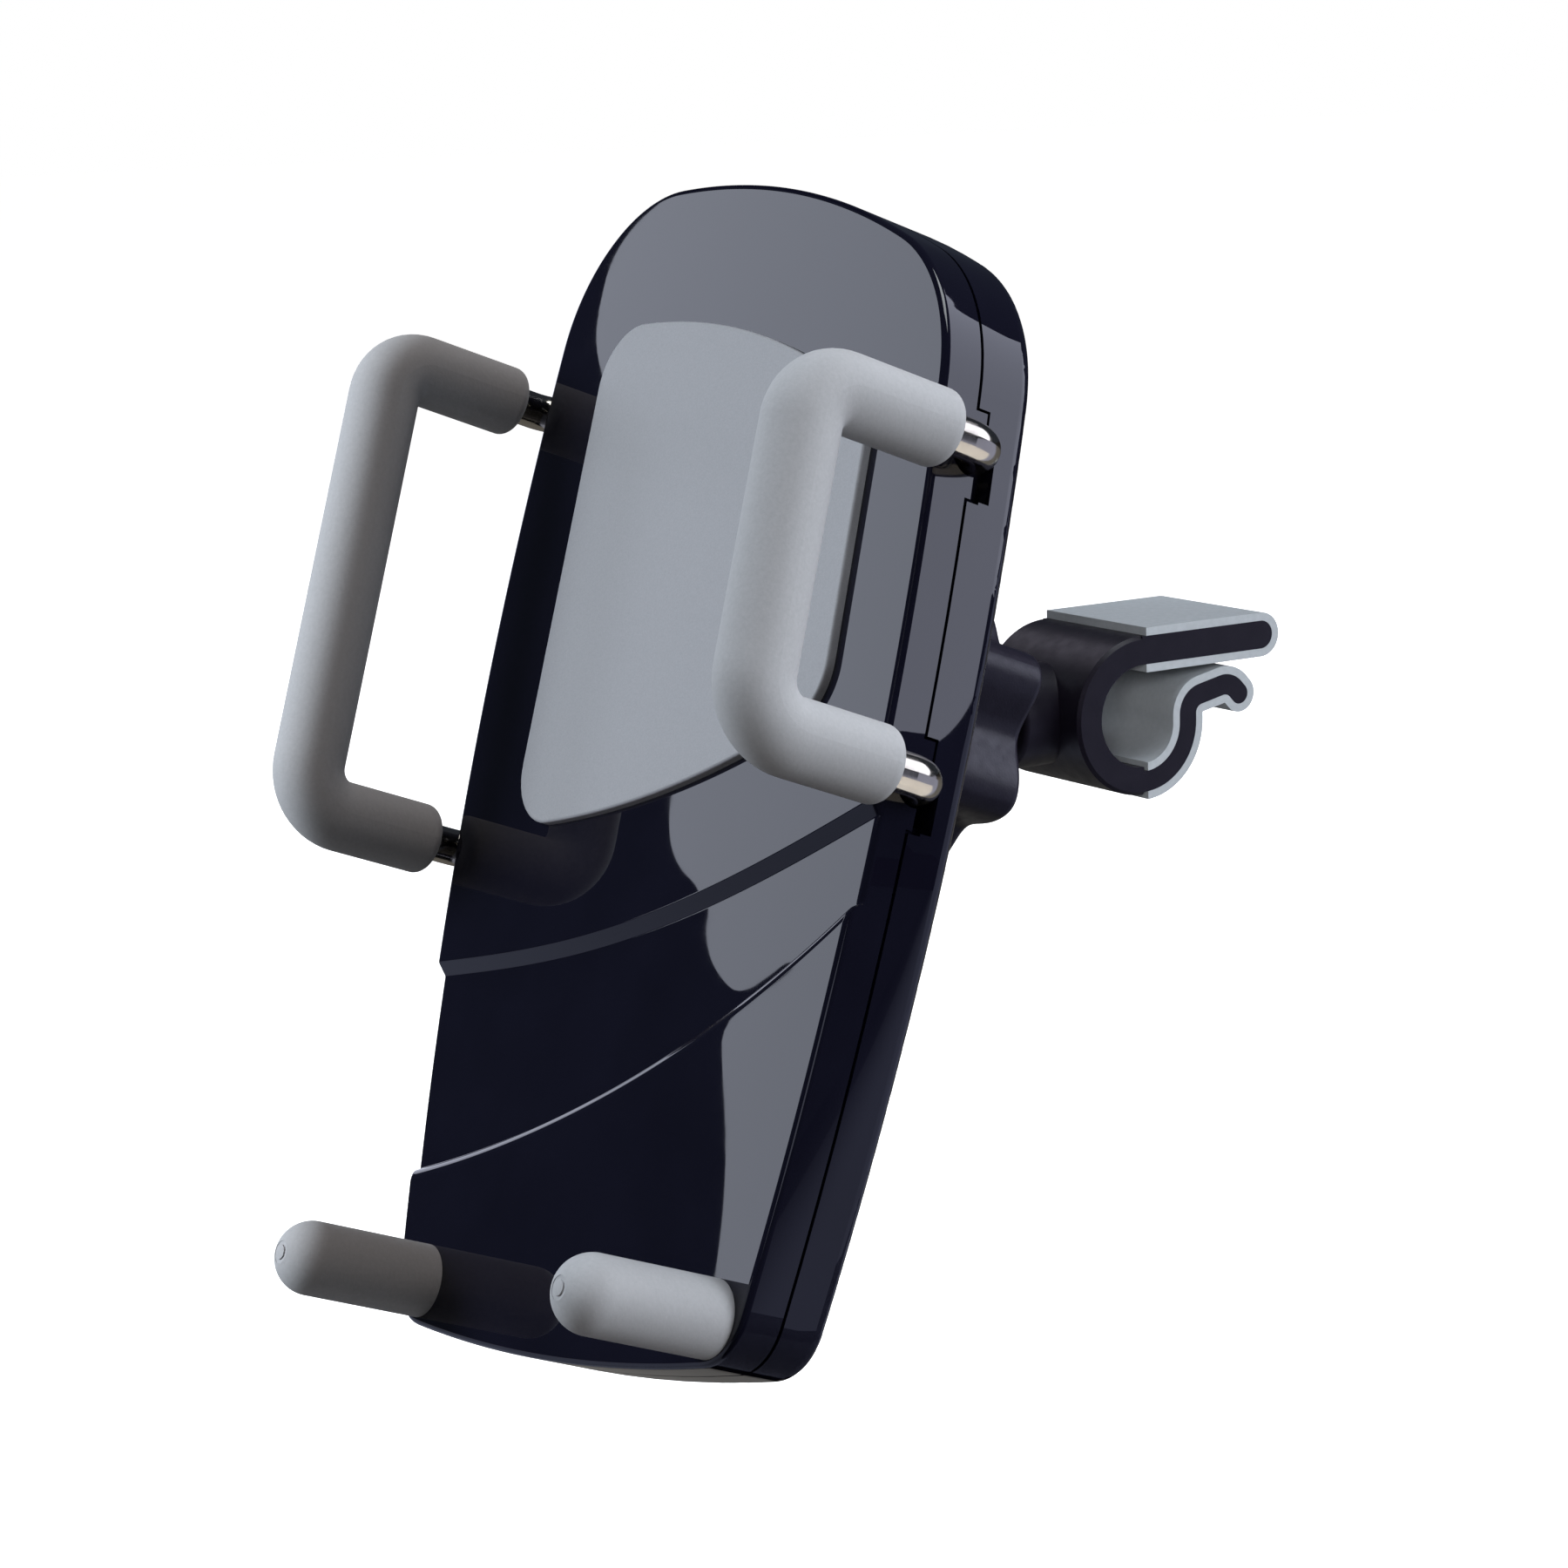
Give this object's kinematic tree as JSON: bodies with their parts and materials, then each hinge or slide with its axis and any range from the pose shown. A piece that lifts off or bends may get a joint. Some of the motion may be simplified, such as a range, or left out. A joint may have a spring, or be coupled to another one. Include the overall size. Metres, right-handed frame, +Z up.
{
  "type": "air vent phone holder",
  "caption": "Air vent phone holder: glossy two-shell cradle with sprung rubber-sleeved wire arms and feet, on a ball joint with lobed nut and a hooked vent-blade clip",
  "frame": {"origin": "centre of the grip between the two clip jaws, where the edge of a level vent blade is held", "axes": "+X to the right of a user facing the phone, +Y into the vent along the jaws, +Z up; the cradle is tilted back 21.5 degrees and leans 10.7 degrees on its ball at rest"},
  "size_m": [0.0818, 0.0951, 0.1],
  "materials": {
    "gloss_black": "mirror gloss moulded shells",
    "satin_black": "semi-matte moulded",
    "nut_black": "satin with fine grain",
    "silver_plate": "silver-grey satin lacquer",
    "grey_rubber": "fine-grained matte",
    "strip_rubber": "smooth matte cool grey",
    "chrome": "bright plated wire",
    "steel": "plain",
    "natural_nylon": "unpainted moulded"
  },
  "bodies": {
    "clip": {"clip_body": "satin_black", "upper_jaw_pad": "strip_rubber", "lower_jaw_pad": "strip_rubber", "ball_stud": "satin_black", "stud_screw": "steel"},
    "pan_cup": {"friction_cup": "natural_nylon"},
    "tilt_ring": {"slip_ring": "natural_nylon"},
    "cradle": {"front_shell": "gloss_black", "rear_shell": "gloss_black", "front_pad": "silver_plate", "case_screws": "steel", "left_foot": "grey_rubber", "right_foot": "grey_rubber", "pinion_axle": "steel", "grip_spring": "steel"},
    "pinion_body": {"pinion": "natural_nylon"},
    "left_arm": {"left_arm_rod": "chrome", "left_sleeve": "grey_rubber", "left_carriage": "natural_nylon"},
    "right_arm": {"right_arm_rod": "chrome", "right_sleeve": "grey_rubber", "right_carriage": "natural_nylon"},
    "nut": {"ball_nut": "nut_black"}
  },
  "joints": [
    {"name": "ball_pan", "type": "hinge", "parent": "clip", "child": "pan_cup", "pos_m": [0, -0.0282, -0.0038], "axis": [0, 0, 1], "range_deg": [-15, 15]},
    {"name": "ball_tilt", "type": "hinge", "parent": "pan_cup", "child": "tilt_ring", "pos_m": [0, -0.0282, -0.0038], "axis": [1, 0, 0], "range_deg": [-3, 41]},
    {"name": "cradle_roll", "type": "hinge", "parent": "tilt_ring", "child": "cradle", "pos_m": [0, -0.0282, -0.0038], "axis": [0, 0.9304, -0.3665], "continuous": true},
    {"name": "nut_turn", "type": "hinge", "parent": "cradle", "child": "nut", "pos_m": [0, -0.0282, -0.0038], "axis": [0, 0.9304, -0.3665], "range_deg": [0, 120]},
    {"name": "left_arm_slide", "type": "slide", "parent": "cradle", "child": "left_arm", "axis": [-0.9826, -0.068, -0.1727], "range_m": [0, 0.009], "stiffness_N_per_m": 150, "springref_m": -0.02},
    {"name": "right_arm_slide", "type": "slide", "parent": "cradle", "child": "right_arm", "axis": [0.9826, 0.068, 0.1727], "range_m": [0, 0.009]},
    {"name": "pinion_spin", "type": "hinge", "parent": "cradle", "child": "pinion_body", "pos_m": [0, -0.04988, 0.00474], "axis": [0, 0.9304, -0.3665], "range_deg": [-115, 0]}
  ],
  "couplings": [
    {"joint": "right_arm_slide", "follows": "left_arm_slide", "ratio": 1},
    {"joint": "pinion_spin", "follows": "left_arm_slide", "rad_per_m": -222.22}
  ]
}
